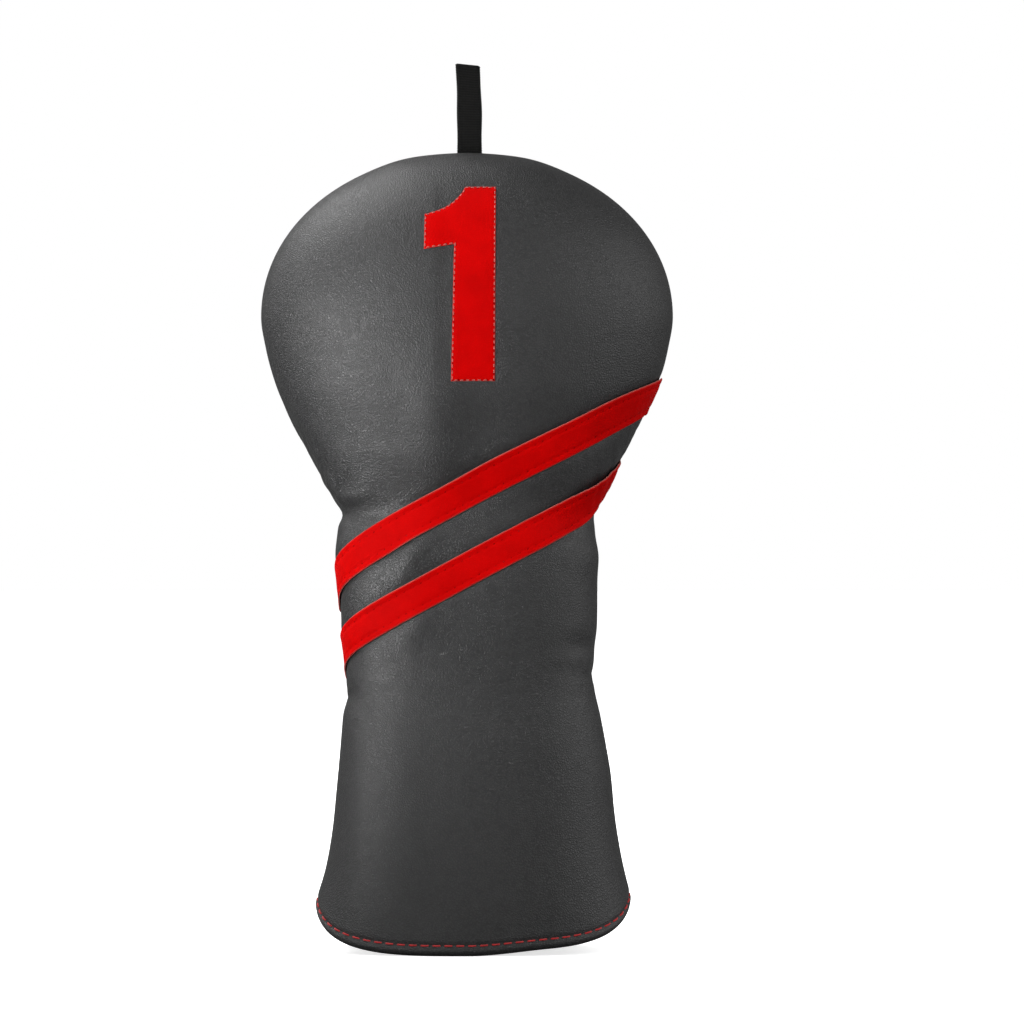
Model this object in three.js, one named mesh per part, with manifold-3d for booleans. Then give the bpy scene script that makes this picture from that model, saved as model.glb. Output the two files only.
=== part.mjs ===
// A padded driver head cover, standing on its hem with the pull loop on top.
// Two leather panels, front and back, are sewn together along the sides and over the crown. Each panel has
// padding and a plush lining behind it. Two elastic tapes gather the neck at the back. A numeral patch and
// two diagonal stripes are sewn on the front, and a folded webbing loop is caught in the crown seam.
//
// Millimetres, +Z up, the front faces -Y. The origin is on the floor, in the middle of the whole width and depth.

import * as THREE from "three";
import { mergeVertices } from "three/addons/utils/BufferGeometryUtils.js";
import Module from "manifold-3d";

const wasm = await Module();
wasm.setup();

// ---- Driving dimensions ----

// The crown is half an ellipsoid that stands on the cover's widest level.
const WIDEST_Z = 253;
const WIDEST_HALF_WIDTH = 82.4;
const WIDEST_HALF_DEPTH = 45;
const CROWN_RISE = 65.7;
const CROWN_TOP = WIDEST_Z + CROWN_RISE;

// Below the widest level: [height, half width, half depth], from the hem up through the gathered neck.
const STATIONS = [
  [0, 63.6, 33],
  [40, 57.2, 32.4],
  [80, 53.4, 31.2],
  [106, 49.6, 29.5],
  [148, 52.6, 31],
  [174, 51, 30.5],
  [201.5, 65, 38],
  [227, 76.8, 43.6],
  [WIDEST_Z, WIDEST_HALF_WIDTH, WIDEST_HALF_DEPTH],
];

// The skirt leans a little to the right below the neck.
const SKIRT_LEAN = 2.6;
const LEAN_FROM_Z = 150;
const LEAN_TO_Z = 85;

// The hem is cut like a shirt tail: level at the middle of each panel, higher at the side seams.
const HEM_RISE = 18;
const HEM_FADE_Z = 80;
const HEM_LEVEL_SINE = Math.sin(THREE.MathUtils.degToRad(70));
const HEM_CURVE_POWER = 0.95;

// Layers, counted inwards from the leather's outer face.
const GAP = 0.3;
const LEATHER = 1.2;
const PADDING = 2;
const LINING = 2;
const PADDING_OUT = LEATHER + GAP;
const LINING_OUT = PADDING_OUT + PADDING + GAP;
const LINING_IN = LINING_OUT + LINING;
const HEM_TURN = 10;
const HEM_TURN_IN = LINING_OUT + LEATHER;

// Appliques lie on the leather, and threads lie on whatever they sew.
const APPLIQUE_IN = GAP;
const APPLIQUE_OUT = APPLIQUE_IN + 1;
const THREAD = 0.6;

// The seam between the panels runs a little behind the widest outline.
const SEAM_Y = 4;
const SEAM_GAP = 1.1;
const SEAM_THREAD_WIDTH = 0.5;
const SEAM_THREAD_DEPTH = 0.8;

const STRIPE_WIDTH = 12.7;
const STRIPE_STITCH_INSET = 2.2;
const NUMERAL_STITCH_INSET = 0.9;
const HEM_STITCH_HEIGHT = 3.8;

const ELASTIC_WIDTH = 10;
const ELASTIC_THICKNESS = 0.8;
const ELASTIC_OUT = PADDING_OUT + 1;
const ELASTIC_HEIGHTS = { upper_neck: 174, lower_neck: 106 };

const WEBBING_WIDTH = 10;
const WEBBING_THICKNESS = 1.2;
const LOOP_X = 1;
const LOOP_TOP = 355.1;
const LOOP_HALF_THICKNESS = 2.4;
const LOOP_ROOT_RADIUS = 1.25;
const LOOP_LEGS_OPEN_BY = 6;
const TAIL_TOP = CROWN_TOP + 0.2;
const TAIL_LENGTH = 5.6;
const LOOP_AXIS_Z = TAIL_TOP + GAP + LOOP_ROOT_RADIUS;

// How finely the shells are faceted. The rows are heights on the outline, and the crown has rings of its own.
const COLUMNS = 36;
const ROWS = [0, LEATHER, HEM_TURN, 30, 50, 70, 90, 106, 122, 140, 158, 174, 190, 206, 224, 240, WIDEST_Z];
const CROWN_RINGS = 5;
const CURVE_SEGMENTS = 8;

// The numeral and its thread stand out in front, so everything moves back by half of that once it is made.
const DEPTH_SHIFT = 1;

// Larger than the cover, for the blocks and prisms that cut it.
const REACH = 200;

// ---- The cover's surface ----

const outline = new THREE.CatmullRomCurve3(STATIONS.map(([z, width, depth]) => new THREE.Vector3(width, depth, z)));

// Enough halvings to find a height on the outline exactly.
const BISECTIONS = 40;

// The outline point at a height: its x is the half width and its y the half depth.
function sectionAt(z) {
  let low = 0;
  let high = 1;
  for (let i = 0; i < BISECTIONS; i++) {
    const middle = (low + high) / 2;
    if (outline.getPoint(middle).z < z) low = middle;
    else high = middle;
  }
  return outline.getPoint(high);
}

function centreAt(z) {
  return SKIRT_LEAN * (1 - THREE.MathUtils.smoothstep(z, LEAN_TO_Z, LEAN_FROM_Z));
}

// How far the hem's curve lifts a point that is at height z in the middle of a panel.
function hemLift(z, angle) {
  const share = Math.min(1, Math.abs(Math.sin(angle)) / HEM_LEVEL_SINE);
  return HEM_RISE * (1 - share ** HEM_CURVE_POWER) * Math.max(0, 1 - z / HEM_FADE_Z);
}

// A ring of the shell at an outline height, moved inwards by inset. Angle 0 is +X and a quarter turn is -Y.
function ringAt(z, inset) {
  const section = sectionAt(z);
  return Array.from({ length: COLUMNS }, (_, i) => {
    const angle = (i / COLUMNS) * 2 * Math.PI;
    const normal = new THREE.Vector3(Math.cos(angle) / section.x, -Math.sin(angle) / section.y, 0).normalize();
    return new THREE.Vector3(
      centreAt(z) + section.x * Math.cos(angle),
      -section.y * Math.sin(angle),
      z + hemLift(z, angle),
    ).addScaledVector(normal, -inset);
  });
}

// A ring of the crown, where elevation runs from 0 at the widest level to a quarter turn at the top.
function crownRing(elevation, inset) {
  return Array.from({ length: COLUMNS }, (_, i) => {
    const angle = (i / COLUMNS) * 2 * Math.PI;
    const unit = new THREE.Vector3(
      Math.cos(angle) * Math.cos(elevation),
      -Math.sin(angle) * Math.cos(elevation),
      Math.sin(elevation),
    );
    const axes = new THREE.Vector3(WIDEST_HALF_WIDTH, WIDEST_HALF_DEPTH, CROWN_RISE);
    const normal = unit.clone().divide(axes).normalize();
    return unit
      .multiply(axes)
      .add(new THREE.Vector3(0, 0, WIDEST_Z))
      .addScaledVector(normal, -inset);
  });
}

// ---- Solids ----

// A closed geometry as a solid.
function toSolid(geometry) {
  geometry.deleteAttribute("normal");
  geometry.deleteAttribute("uv");
  const merged = mergeVertices(geometry);
  return new wasm.Manifold(
    new wasm.Mesh({
      numProp: 3,
      vertProperties: new Float32Array(merged.attributes.position.array),
      triVerts: new Uint32Array(merged.index.array),
    }),
  );
}

// A closed solid from rings that are stacked upwards, fanned to a point at each end.
function ringStack(rings, bottomPoint, topPoint) {
  const points = [...rings.flat(), bottomPoint, topPoint];
  const bottom = points.length - 2;
  const top = points.length - 1;
  const lastRing = (rings.length - 1) * COLUMNS;
  const triangles = [];
  for (let i = 0; i < COLUMNS; i++) {
    const next = (i + 1) % COLUMNS;
    for (let row = 0; row < rings.length - 1; row++) {
      const here = row * COLUMNS;
      const above = here + COLUMNS;
      triangles.push(here + i, above + i, here + next, here + next, above + i, above + next);
    }
    triangles.push(bottom, i, next, top, lastRing + next, lastRing + i);
  }
  const geometry = new THREE.BufferGeometry();
  geometry.setFromPoints(points);
  geometry.setIndex(triangles);
  return toSolid(geometry);
}

function middleOf(ring) {
  return ring.reduce((sum, point) => sum.add(point), new THREE.Vector3()).divideScalar(ring.length);
}

// The surface at an inset, as rings from outline height `from` up to the last one below the crown's top.
function ringsUp(inset, from) {
  const rings = [from, ...ROWS.filter((z) => z > from)].map((z) => ringAt(z, inset));
  for (let i = 1; i < CROWN_RINGS; i++) rings.push(crownRing(((i / CROWN_RINGS) * Math.PI) / 2, inset));
  return rings;
}

// A solid under the crown, closed below by its first ring.
function domed(rings, inset) {
  return ringStack(rings, middleOf(rings[0]), new THREE.Vector3(0, 0, CROWN_TOP - inset));
}

// Everything inside the surface at an inset, from outline height `from` to the crown. The first ring keeps
// the underside level across the thickness of the hem.
function inside(inset, from) {
  return domed([ringAt(from, inset + LINING_IN), ...ringsUp(inset, from)], inset);
}

// The same, but only between two outline heights.
function insideBetween(inset, from, to) {
  const heights = [from, ...ROWS.filter((z) => z > from && z < to), to];
  const rings = heights.map((z) => ringAt(z, inset));
  rings.unshift(ringAt(from, inset + LINING_IN));
  rings.push(ringAt(to, inset + LINING_IN));
  return ringStack(rings, middleOf(rings[0]), middleOf(rings[rings.length - 1]));
}

// A solid that reaches down through the mouth, for hollowing.
function hollow(inset) {
  const below = ringAt(0, inset).map((point) => point.setZ(-GAP));
  return domed([below, ...ringsUp(inset, 0)], inset);
}

// A shell between two insets, open at the mouth.
function shell(outer, inner, from) {
  return inside(outer, from).subtract(hollow(inner));
}

function block(xs, ys, zs) {
  const geometry = new THREE.BoxGeometry(xs[1] - xs[0], ys[1] - ys[0], zs[1] - zs[0]);
  geometry.translate((xs[0] + xs[1]) / 2, (ys[0] + ys[1]) / 2, (zs[0] + zs[1]) / 2);
  return toSolid(geometry);
}

const FRONT = block([-REACH, REACH], [-REACH, SEAM_Y - SEAM_GAP / 2], [-REACH, 2 * REACH]);
const BACK = block([-REACH, REACH], [SEAM_Y + SEAM_GAP / 2, REACH], [-REACH, 2 * REACH]);

// A flat shape in front view, as a prism that reaches from the seam out past the front.
function frontPrism(shape) {
  const geometry = new THREE.ExtrudeGeometry(shape, { depth: REACH, bevelEnabled: false, curveSegments: CURVE_SEGMENTS });
  geometry.rotateX(Math.PI / 2);
  geometry.translate(0, SEAM_Y - SEAM_GAP / 2, 0);
  return toSolid(geometry);
}

// ---- Shapes of the appliques, in front view ----

// The middle line of a stripe, z = height + slope * x - bend * x * x.
const STRIPES = {
  upper_stripe: { height: 183.3, slope: 0.549, bend: 0.00088 },
  lower_stripe: { height: 152.6, slope: 0.558, bend: 0.00064 },
};
const STRIPE_ENDS = [-75, 95];

// The band between two distances above the stripe's middle line, measured across the stripe.
function stripeBand({ height, slope, bend }, low, high) {
  const stretch = Math.hypot(1, slope);
  const [left, right] = STRIPE_ENDS;
  const control = (left + right) / 2;
  const line = (x) => height + slope * x - bend * x * x;
  const tangentMeet = line(left) + (slope - 2 * bend * left) * (control - left);
  const shape = new THREE.Shape();
  shape.moveTo(left, line(left) + low * stretch);
  shape.quadraticCurveTo(control, tangentMeet + low * stretch, right, line(right) + low * stretch);
  shape.lineTo(right, line(right) + high * stretch);
  shape.quadraticCurveTo(control, tangentMeet + high * stretch, left, line(left) + high * stretch);
  return shape;
}

// The block numeral 1 with a flag at its top left, drawn inside its own outline by inset.
function numeralOutline(inset) {
  const NUMERAL = { left: -16.5, stemLeft: -5.5, right: 11.7, bottom: 226.3, top: 303.4 };
  const FLAG = { bottomLeft: 278, bottomRight: 280, topLeft: 292.6, topRight: -0.7, bow: [-7.1, 294.8] };
  const points = new THREE.Path();
  points.moveTo(NUMERAL.right - inset, NUMERAL.bottom + inset);
  points.lineTo(NUMERAL.right - inset, NUMERAL.top - inset);
  points.lineTo(FLAG.topRight + inset / 3, NUMERAL.top - inset);
  points.quadraticCurveTo(
    FLAG.bow[0] + inset / 2,
    FLAG.bow[1] - inset,
    NUMERAL.left + inset,
    FLAG.topLeft - inset,
  );
  points.lineTo(NUMERAL.left + inset, FLAG.bottomLeft + inset);
  points.lineTo(NUMERAL.stemLeft + inset, FLAG.bottomRight + inset);
  points.lineTo(NUMERAL.stemLeft + inset, NUMERAL.bottom + inset);
  points.closePath();
  return points;
}

function numeralShape(inset) {
  return new THREE.Shape(numeralOutline(inset).getPoints(CURVE_SEGMENTS));
}

// ---- Materials ----

function material(color, roughness) {
  return new THREE.MeshStandardMaterial({ color, roughness });
}

const GREY_LEATHER = material(0x3c3c3d, 0.5);
const RED_LEATHER = material(0xc80606, 0.55);
const BLACK_WEBBING = material(0x1b1b1b, 0.85);
const WHITE_ELASTIC = material(0xd8d6d0, 0.8);
const GREY_FOAM = material(0x8b8c8e, 0.95);
const BLACK_PLUSH = material(0x17171a, 1);
const RED_THREAD = material(0xb5101c, 0.6);
const DARK_THREAD = material(0x222223, 0.6);

// ---- The parts ----

const cover = new THREE.Group();

function addPart(name, solid, look) {
  const { vertProperties, triVerts } = solid.getMesh();
  const geometry = new THREE.BufferGeometry();
  geometry.setAttribute("position", new THREE.BufferAttribute(new Float32Array(vertProperties), 3));
  geometry.setIndex(new THREE.BufferAttribute(new Uint32Array(triVerts), 1));
  geometry.translate(0, DEPTH_SHIFT, 0);
  const mesh = new THREE.Mesh(geometry, look);
  mesh.name = name;
  cover.add(mesh);
}

// The loop's ends pass down through every layer at the top of the crown.
const tailSlot = block(
  [LOOP_X - WEBBING_WIDTH / 2 - GAP, LOOP_X + WEBBING_WIDTH / 2 + GAP],
  [SEAM_Y - WEBBING_THICKNESS - GAP, SEAM_Y + WEBBING_THICKNESS + GAP],
  [TAIL_TOP - TAIL_LENGTH - GAP, TAIL_TOP + REACH],
);

function addHalves(frontName, backName, layer, look) {
  const slotted = layer.subtract(tailSlot);
  addPart(frontName, slotted.intersect(FRONT), look);
  addPart(backName, slotted.intersect(BACK), look);
}

// Leather: a shell whose hem is turned in and up behind the padding.
function leatherShell() {
  const pocket = inside(LEATHER, LEATHER);
  const turnedHem = insideBetween(LINING_OUT, 0, HEM_TURN);
  return inside(0, 0).subtract(pocket).add(turnedHem).subtract(hollow(HEM_TURN_IN));
}

// A tape or a line of thread that runs round the back at one height, between two insets.
function backBand(outer, inner, height, width) {
  const slice = block([-REACH, REACH], [-REACH, REACH], [height - width / 2, height + width / 2]);
  const inset = block([-REACH, REACH], [SEAM_Y + SEAM_GAP / 2 + GAP, REACH], [0, REACH]);
  return shell(outer, inner, LEATHER).intersect(slice).intersect(inset);
}

// Padding: pocketed where the elastic tapes lie against it.
function paddingShell() {
  let padding = shell(PADDING_OUT, PADDING_OUT + PADDING, LEATHER + GAP);
  for (const height of Object.values(ELASTIC_HEIGHTS)) {
    const slice = block(
      [-REACH, REACH],
      [SEAM_Y, REACH],
      [height - ELASTIC_WIDTH / 2 - GAP, height + ELASTIC_WIDTH / 2 + GAP],
    );
    padding = padding.subtract(inside(ELASTIC_OUT - GAP, LEATHER).intersect(slice));
  }
  return padding;
}

function addElastics() {
  for (const [name, height] of Object.entries(ELASTIC_HEIGHTS)) {
    const tape = backBand(ELASTIC_OUT, ELASTIC_OUT + ELASTIC_THICKNESS, height, ELASTIC_WIDTH);
    addPart(`${name}_elastic`, tape, WHITE_ELASTIC);
    const thread = backBand(-GAP - THREAD, -GAP, height, THREAD);
    addPart(`${name}_elastic_thread`, thread, DARK_THREAD);
  }
}

function addAppliques() {
  const applique = shell(-APPLIQUE_OUT, -APPLIQUE_IN, LEATHER);
  const thread = shell(-APPLIQUE_OUT - GAP - THREAD, -APPLIQUE_OUT - GAP, LEATHER);
  const half = STRIPE_WIDTH / 2;
  const row = half - STRIPE_STITCH_INSET;
  for (const [name, line] of Object.entries(STRIPES)) {
    const sewnAt = (middle) => thread.intersect(frontPrism(stripeBand(line, middle - THREAD / 2, middle + THREAD / 2)));
    addPart(name, applique.intersect(frontPrism(stripeBand(line, -half, half))), RED_LEATHER);
    addPart(`${name}_top_thread`, sewnAt(row), RED_THREAD);
    addPart(`${name}_bottom_thread`, sewnAt(-row), RED_THREAD);
  }
  const stitchRing = numeralShape(NUMERAL_STITCH_INSET);
  stitchRing.holes.push(new THREE.Path(numeralOutline(NUMERAL_STITCH_INSET + THREAD).getPoints(CURVE_SEGMENTS)));
  addPart("numeral_patch", applique.intersect(frontPrism(numeralShape(0))), RED_LEATHER);
  addPart("numeral_thread", thread.intersect(frontPrism(stitchRing)), RED_THREAD);
}

// One line of thread round the mouth, just above the edge.
function addHemThread() {
  const low = HEM_STITCH_HEIGHT - THREAD / 2;
  const outer = insideBetween(-GAP - THREAD, low, HEM_STITCH_HEIGHT + THREAD / 2);
  const hole = insideBetween(-GAP, low - THREAD, HEM_STITCH_HEIGHT + 2 * THREAD);
  addPart("hem_thread", outer.subtract(hole), RED_THREAD);
}

// The seam thread lies between the panels' edges and stops at the loop on each side.
function addSeamThreads() {
  const plane = block(
    [-REACH, REACH],
    [SEAM_Y - SEAM_THREAD_WIDTH / 2, SEAM_Y + SEAM_THREAD_WIDTH / 2],
    [-REACH, 2 * REACH],
  );
  const seam = shell(SEAM_THREAD_DEPTH, SEAM_THREAD_DEPTH + THREAD, LEATHER).intersect(plane).subtract(tailSlot);
  const right = block([LOOP_X, REACH], [-REACH, REACH], [-REACH, 2 * REACH]);
  addPart("right_seam_thread", seam.intersect(right), DARK_THREAD);
  addPart("left_seam_thread", seam.subtract(right), DARK_THREAD);
}

// The webbing is folded once at the top. Seen from the side, the two legs part above a round root.
function addPullLoop() {
  const foldZ = LOOP_TOP - LOOP_AXIS_Z - LOOP_HALF_THICKNESS;
  const profile = new THREE.Shape();
  profile.moveTo(LOOP_ROOT_RADIUS, 0);
  profile.lineTo(LOOP_HALF_THICKNESS, LOOP_LEGS_OPEN_BY);
  profile.lineTo(LOOP_HALF_THICKNESS, foldZ);
  profile.absarc(0, foldZ, LOOP_HALF_THICKNESS, 0, Math.PI);
  profile.lineTo(-LOOP_HALF_THICKNESS, LOOP_LEGS_OPEN_BY);
  profile.lineTo(-LOOP_ROOT_RADIUS, 0);
  profile.absarc(0, 0, LOOP_ROOT_RADIUS, Math.PI, 2 * Math.PI);
  const bight = LOOP_HALF_THICKNESS - WEBBING_THICKNESS;
  const gap = new THREE.Path();
  gap.moveTo(0, WEBBING_THICKNESS);
  gap.lineTo(bight, LOOP_LEGS_OPEN_BY);
  gap.lineTo(bight, foldZ);
  gap.absarc(0, foldZ, bight, 0, Math.PI);
  gap.lineTo(-bight, LOOP_LEGS_OPEN_BY);
  gap.closePath();
  profile.holes.push(gap);
  const geometry = new THREE.ExtrudeGeometry(profile, {
    depth: WEBBING_WIDTH,
    bevelEnabled: false,
    curveSegments: CURVE_SEGMENTS,
  });
  // The drawing's x becomes the row's y, its y the row's z, and the extrusion runs along x.
  geometry.rotateX(Math.PI / 2);
  geometry.rotateZ(Math.PI / 2);
  geometry.translate(LOOP_X - WEBBING_WIDTH / 2, SEAM_Y, LOOP_AXIS_Z);
  addPart("pull_loop", toSolid(geometry), BLACK_WEBBING);
  const tail = block(
    [LOOP_X - WEBBING_WIDTH / 2, LOOP_X + WEBBING_WIDTH / 2],
    [SEAM_Y - WEBBING_THICKNESS, SEAM_Y + WEBBING_THICKNESS],
    [TAIL_TOP - TAIL_LENGTH, TAIL_TOP],
  );
  addPart("loop_tail", tail, BLACK_WEBBING);
}

addHalves("front_panel", "back_panel", leatherShell(), GREY_LEATHER);
addHalves("front_padding", "back_padding", paddingShell(), GREY_FOAM);
addHalves("front_lining", "back_lining", shell(LINING_OUT, LINING_IN, HEM_TURN + GAP), BLACK_PLUSH);
addAppliques();
addElastics();
addHemThread();
addSeamThreads();
addPullLoop();

export default cover;
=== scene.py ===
"""The padded driver head cover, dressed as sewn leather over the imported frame.

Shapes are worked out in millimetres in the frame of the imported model: +Z up, with the front facing
-Y. They become metres when a mesh is made. The cover's skin is one smooth surface that every layer,
applique and stitch is laid on.
"""

import copy
import functools
import math

import bmesh
import bpy
import numpy as np
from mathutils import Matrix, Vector


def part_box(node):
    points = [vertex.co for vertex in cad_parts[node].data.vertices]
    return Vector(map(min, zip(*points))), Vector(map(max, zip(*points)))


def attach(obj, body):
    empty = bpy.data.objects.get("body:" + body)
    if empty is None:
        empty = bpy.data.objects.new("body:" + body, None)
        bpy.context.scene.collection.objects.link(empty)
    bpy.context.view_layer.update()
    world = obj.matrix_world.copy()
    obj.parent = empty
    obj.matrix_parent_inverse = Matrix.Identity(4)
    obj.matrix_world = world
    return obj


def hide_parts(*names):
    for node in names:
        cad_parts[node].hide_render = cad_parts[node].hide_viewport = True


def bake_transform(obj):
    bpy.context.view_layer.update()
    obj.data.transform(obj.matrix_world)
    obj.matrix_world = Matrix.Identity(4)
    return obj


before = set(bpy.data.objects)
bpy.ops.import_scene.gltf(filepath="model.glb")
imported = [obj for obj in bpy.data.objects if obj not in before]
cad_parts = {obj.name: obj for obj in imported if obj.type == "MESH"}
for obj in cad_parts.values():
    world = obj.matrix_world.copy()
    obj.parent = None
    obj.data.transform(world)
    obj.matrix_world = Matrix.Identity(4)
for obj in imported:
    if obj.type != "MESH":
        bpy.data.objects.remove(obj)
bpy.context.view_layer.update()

MM = 0.001
FULL_TURN = 2 * math.pi


def box_mm(node):
    low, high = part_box(node)
    return np.array(low) / MM, np.array(high) / MM


# ---- Dimensions ----

PANEL_LOW, PANEL_HIGH = box_mm("front_panel")
BACK_HIGH = box_mm("back_panel")[1]
LOOP_LOW, LOOP_HIGH = box_mm("pull_loop")
TAIL_LOW, TAIL_HIGH = box_mm("loop_tail")
NUMERAL_LOW, NUMERAL_HIGH = box_mm("numeral_patch")

# The skin's own middle, and the plane of the seam between the panels.
MIDDLE_Y = (PANEL_LOW[1] + BACK_HIGH[1]) / 2
SEAM_Y = (TAIL_LOW[1] + TAIL_HIGH[1]) / 2
LOOP_X = (LOOP_LOW[0] + LOOP_HIGH[0]) / 2

CROWN_TOP = PANEL_HIGH[2]
CROWN_HEIGHT = 65.7
WIDEST_Z = CROWN_TOP - CROWN_HEIGHT
WIDEST_HALF_DEPTH = MIDDLE_Y - PANEL_LOW[1]
CROWN_FULLNESS = 2.04

# The outline in front view, as [height, half width]. The left and right sides differ a little.
LEFT_OUTLINE = [
    [0, 61], [22, 56], [45, 53.1], [75, 51.1], [93, 50.3], [102, 48.8], [112, 49.2], [131, 50.4],
    [146, 52.4], [160, 54], [169, 53.6], [174, 52.2], [181, 55.6], [185, 57], [189, 59.8],
    [201, 66.3], [214, 72.2], [227, 76.9], [240, 80.4], [WIDEST_Z, 82.4],
]
RIGHT_OUTLINE = [
    [0, 66], [22, 62], [45, 59.2], [75, 57.2], [93, 54.4], [103, 52.3], [111, 51.5], [119, 52.3],
    [131, 52.9], [146, 53], [160, 52.8], [169, 52.8], [173, 52.4], [180, 55.6], [189, 60.8],
    [201, 65.6], [214, 71.5], [227, 76.9], [240, 80.4], [WIDEST_Z, 82.4],
]

# Half the depth at each height.
HALF_DEPTH = [
    [0, 33], [40, 32.4], [80, 31.2], [106, 29.5], [148, 31], [174, 30.5], [201, 38], [227, 43.6],
    [WIDEST_Z, WIDEST_HALF_DEPTH],
]

# How square the cross-section is, by height: 2 is an ellipse, and more is flatter in front and behind.
SQUARENESS = [[0, 2.7], [150, 2.6], [185, 2.25], [215, 2], [WIDEST_Z, 2]]

# The hem is cut like a shirt tail, higher at the side seams than in the middle of each panel.
HEM_RISE = 18
HEM_ROUNDING = 0.2
HEM_CURVE_POWER = 1.2
HEM_TILT = 2
HEM_FADE_Z = 80

# The hem is turned in over the padding: its edge is half a circle.
HEM_ROLL = 2.5
HEM_TURN = 10

# Depths below the leather's outer face.
LEATHER = 1.1
PADDING_OUT = 1.5
PADDING_IN = 3.4
LINING_OUT = 3.8
LINING_IN = 5.6
ELASTIC_OUT = 1.8
ELASTIC_IN = 2.4

# Away from the hem the inner layers run smooth under the gathers, this much deeper.
UNDER_GATHERS = 1.6

# The panels stop this far apart at the seam, and their edges roll in over this distance.
SEAM_GAP = 0.24
SEAM_ROLL = 2.3

# At the crown the panels part to let the loop out, over this half width and this far from the seam.
OPENING_HALF_WIDTH = 7.5
OPENING_REACH = 7

HEM_STITCH_HEIGHT = 4.2

# The elastic tapes draw the back in. The lower one climbs a little to the right.
ELASTICS = {
    "upper_neck_elastic": {"tilt": 0.0, "phase": 0.0},
    "lower_neck_elastic": {"tilt": 0.08, "phase": 2.1},
}
for elastic_name, elastic in ELASTICS.items():
    elastic["height"] = float(np.mean(box_mm(elastic_name), axis=0)[2])
ELASTIC_HALF_WIDTH = 4.8
ELASTIC_STITCH_OFFSET = 2.4

NECK_HALF_WIDTH = 50

# Each tape stops this angle short of the side seams.
ELASTIC_END_ANGLE = 0.16

# The middle line of a stripe climbs to the right. It bends over gently on each side of the middle,
# and droops more past a point near its right end.
STRIPES = {
    "upper_stripe": {
        "height": 183.2, "slope": 0.535, "bends": (0.0005, 0.0008), "past": 55, "droop": 0.003
    },
    "lower_stripe": {
        "height": 152.3, "slope": 0.54, "bends": (0, 0.0006), "past": 50, "droop": 0.0015
    },
}
STRIPE_HALF_WIDTH = 6.15
STRIPE_REACH = 100
STRIPE_STITCH_INSET = 2.2

# An applique's face above the leather, and how thick its leather is.
APPLIQUE = 0.65
APPLIQUE_THICKNESS = 0.6
NUMERAL_STITCH_INSET = 0.42

# Stitches: the length of one with its gap, and the thread's radius.
HEM_PITCH, HEM_THREAD = 4.7, 0.36
SEAM_PITCH, SEAM_THREAD = 3.4, 0.28
ELASTIC_PITCH, ELASTIC_THREAD = 3.3, 0.3
STRIPE_PITCH, STRIPE_THREAD = 3.2, 0.24
NUMERAL_PITCH, NUMERAL_THREAD = 2.3, 0.19

# Each needle hole's width, and how far down in an applique's face its stitches lie.
HOLE_WIDTH = 0.42
STITCH_SEAT = 0.16

# The loop's webbing, and the spacing of its ribs and of the threads along it.
STRAP_THICKNESS = 1.15
RIB_PITCH = 1.0
WARP_PITCH = 0.62


# ---- Small numeric helpers ----

def smooth_curve(knots):
    """A function through the knots that doesn't overshoot between them."""
    x, y = np.array(knots, float).T
    step = np.diff(x)
    slope = np.diff(y) / step
    tangent = np.zeros(len(x))
    same_way = slope[:-1] * slope[1:] > 0
    mean = 2 * slope[:-1] * slope[1:] / np.where(same_way, slope[:-1] + slope[1:], 1)
    tangent[1:-1] = np.where(same_way, mean, 0)
    tangent[0] = slope[0]

    def value(at):
        at = np.clip(at, x[0], x[-1])
        i = np.clip(np.searchsorted(x, at) - 1, 0, len(x) - 2)
        t = (at - x[i]) / step[i]
        rise = (1 + 2 * t) * (1 - t) ** 2 * y[i] + t * t * (3 - 2 * t) * y[i + 1]
        turn = t * (1 - t) ** 2 * tangent[i] - t * t * (1 - t) * tangent[i + 1]
        return rise + turn * step[i]

    return value


def bump(x, middle, width):
    """1 at the middle, falling smoothly to nothing at about two widths."""
    return np.exp(-(((x - middle) / width) ** 2))


def ramp(x, low, high):
    """0 at low, rising smoothly to 1 at high. High may lie below low."""
    t = np.clip((x - low) / (high - low), 0, 1)
    return t * t * (3 - 2 * t)


def unit(vectors):
    return vectors / np.maximum(np.linalg.norm(vectors, axis=-1, keepdims=True), 1e-12)


def walk_along(line):
    """How far along a line of points each of its points is."""
    return np.append(0, np.cumsum(np.linalg.norm(np.diff(line, axis=0), axis=1)))


def points_along(line, walk, at):
    """Points of a line at distances along it."""
    return np.stack([np.interp(at, walk, values) for values in line.T], -1)


def cubic_weights(t):
    """Catmull-Rom weights of four neighbours."""
    return [
        0.5 * (-t + 2 * t ** 2 - t ** 3),
        0.5 * (2 - 5 * t ** 2 + 3 * t ** 3),
        0.5 * (t + 4 * t ** 2 - 3 * t ** 3),
        0.5 * (t ** 3 - t ** 2),
    ]


def look_up(grid, angle, rise, weights):
    """A value between the points of a grid whose rows go once round, and up as rise goes from 0 to 1. The
    weights are those of the nearest points, for a share of the way from one to the next."""
    rows, columns = grid.shape[:2]
    column = np.mod(angle, FULL_TURN) / FULL_TURN * columns
    line = np.clip(rise, 0, 1) * (rows - 1)
    i = np.floor(column).astype(int)
    j = np.minimum(np.floor(line).astype(int), rows - 2)
    across, up = weights(column - i), weights(line - j)
    before = len(across) // 2 - 1
    total = 0
    for b, a in np.ndindex(len(up), len(across)):
        there = grid[np.clip(j + b - before, 0, rows - 1), (i + a - before) % columns]
        total = total + there * (across[a] * up[b])[..., None]
    return total


# ---- The cover's skin ----
#
# A place on the skin is (angle, row). Angle 0 is +X and a quarter turn is the front, -Y. Row runs from
# 0 at the hem to 1 at the widest level, in proportion to height, and on to 2 at the top of the crown.

left_half_width = smooth_curve(LEFT_OUTLINE)
right_half_width = smooth_curve(RIGHT_OUTLINE)
half_depth = smooth_curve(HALF_DEPTH)
squareness = smooth_curve(SQUARENESS)


def row_of(height):
    return height / WIDEST_Z


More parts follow.
